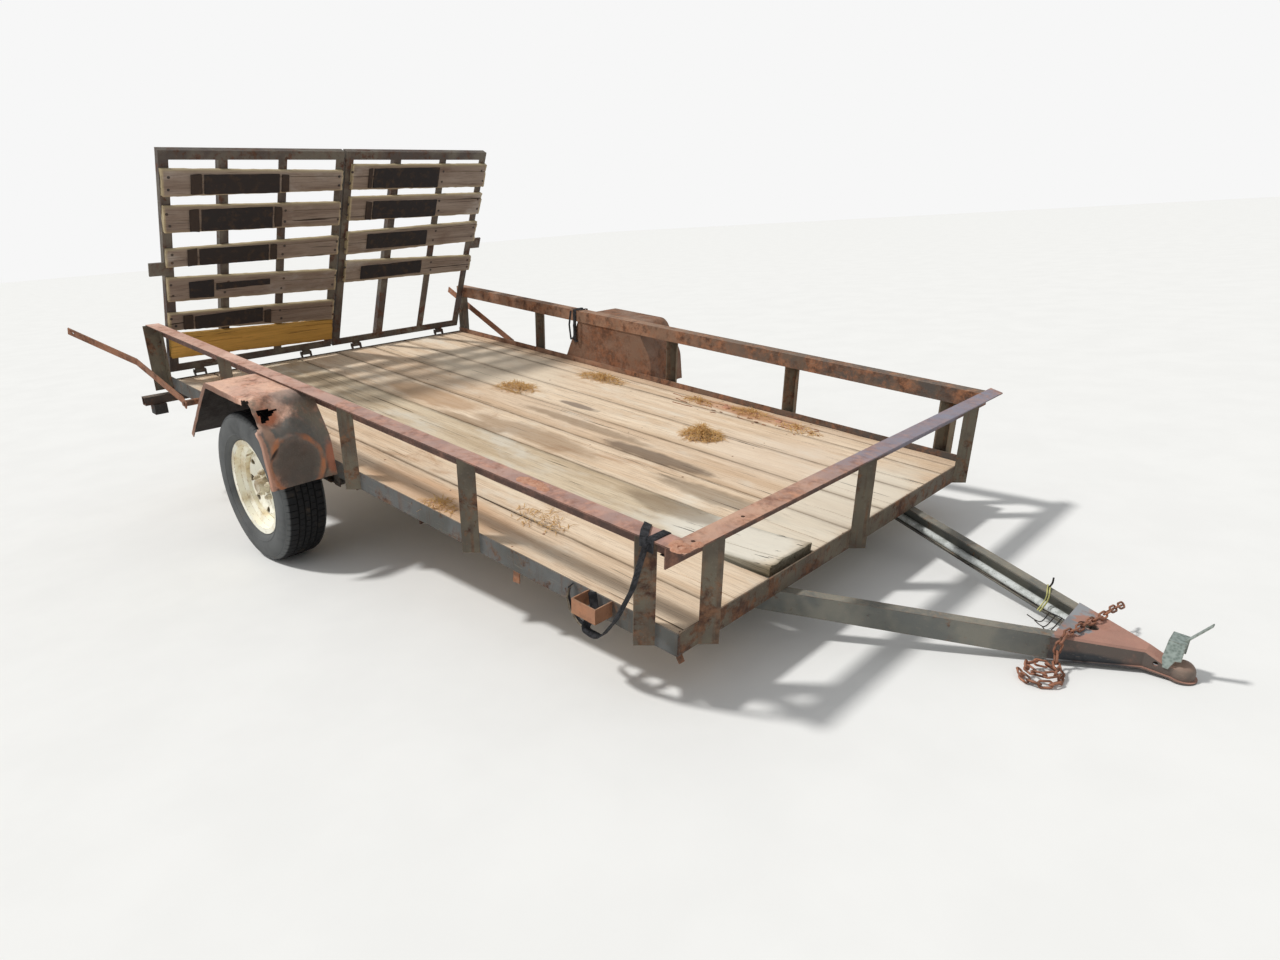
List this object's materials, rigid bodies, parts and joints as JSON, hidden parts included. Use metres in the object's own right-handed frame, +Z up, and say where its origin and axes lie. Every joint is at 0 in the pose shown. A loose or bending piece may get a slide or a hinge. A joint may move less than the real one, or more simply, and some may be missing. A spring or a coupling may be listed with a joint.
{
  "type": "utility trailer",
  "caption": "Single-axle utility trailer with a plank deck, angle-iron rails, leaning lath-covered rear gates, round fenders and an A-frame ball coupler.",
  "frame": {"origin": "on the floor, at the middle of the stored trailer's box", "axes": "+X forward to the coupler, +Y to the trailer's left, +Z up from the floor; the trailer sits nose down"},
  "size_m": [4.9708, 2.6044, 1.786],
  "materials": {
    "frame_steel": "worn dark paint with rust",
    "rail_steel": "rusted paint",
    "fender_steel": "rusted and scraped paint",
    "coupler_steel": "rusted",
    "rust": "rusted",
    "zinc": "dull zinc plate",
    "dark_steel": "oily and rusty",
    "deck_wood": "weathered rough-sawn",
    "lath_wood": "weathered rough-sawn",
    "board_wood": "yellowed",
    "mat_rubber": "matte",
    "tyre": "worn",
    "rim_paint": "cream paint",
    "hub_paint": "dirty paint",
    "conduit_plastic": "dirty white",
    "webbing": "black webbing"
  },
  "bodies": {
    "chassis": {"side_frame_near": "frame_steel", "side_frame_far": "frame_steel", "front_frame": "frame_steel", "rear_frame": "frame_steel", "cross_members": "frame_steel", "deck_planks": "deck_wood", "raised_plank": "deck_wood", "rail_near": "rail_steel", "rail_far": "rail_steel", "rail_front": "rail_steel", "side_posts": "frame_steel", "front_posts": "frame_steel", "rear_posts": "frame_steel", "fender_near": "fender_steel", "fender_far": "fender_steel", "tongue_near": "frame_steel", "tongue_far": "frame_steel", "coupler": "coupler_steel", "coupler_latch": "zinc", "conduit": "conduit_plastic", "axle": "dark_steel", "leaf_springs": "dark_steel", "spring_hangers": "dark_steel", "axle_u_bolts": "dark_steel", "rear_beam": "frame_steel", "lamp_boxes": "rust", "lamp_guard": "rust", "strap_near": "webbing", "strap_far": "webbing", "safety_chain": "rust", "gate_pins": "dark_steel", "stay_lugs": "rust"},
    "wheel_near": {"tyre_near": "tyre", "rim_near": "rim_paint", "hub_near": "hub_paint"},
    "gate_near": {"gate_frame_near": "frame_steel", "gate_laths_near": "lath_wood", "gate_mats_near": "mat_rubber", "gate_board": "board_wood"},
    "stay_near": {"stay_near": "rail_steel"},
    "wheel_far": {"tyre_far": "tyre", "rim_far": "rim_paint", "hub_far": "hub_paint"},
    "gate_far": {"gate_frame_far": "frame_steel", "gate_laths_far": "lath_wood", "gate_mats_far": "mat_rubber"},
    "stay_far": {"stay_far": "rail_steel"}
  },
  "joints": [
    {"name": "wheel_near", "type": "hinge", "parent": "chassis", "child": "wheel_near", "pos_m": [-0.78116, -1.05031, 0.33], "axis": [0, 1, 0], "continuous": true},
    {"name": "wheel_far", "type": "hinge", "parent": "chassis", "child": "wheel_far", "pos_m": [-0.78116, 1.16969, 0.33], "axis": [0, 1, 0], "continuous": true},
    {"name": "gate_near", "type": "hinge", "parent": "chassis", "child": "gate_near", "pos_m": [-2.2801, -0.42031, 0.6549], "axis": [0, -1, 0], "range_deg": [0, 145]},
    {"name": "gate_far", "type": "hinge", "parent": "chassis", "child": "gate_far", "pos_m": [-2.2801, 0.53969, 0.6549], "axis": [0, -1, 0], "range_deg": [0, 145]},
    {"name": "stay_near", "type": "hinge", "parent": "chassis", "child": "stay_near", "pos_m": [-1.80301, -1.00331, 0.5666], "axis": [0, 1, 0], "range_deg": [-22, 68]},
    {"name": "stay_far", "type": "hinge", "parent": "chassis", "child": "stay_far", "pos_m": [-1.80301, 1.12269, 0.5666], "axis": [0, 1, 0], "range_deg": [-22, 68]}
  ]
}
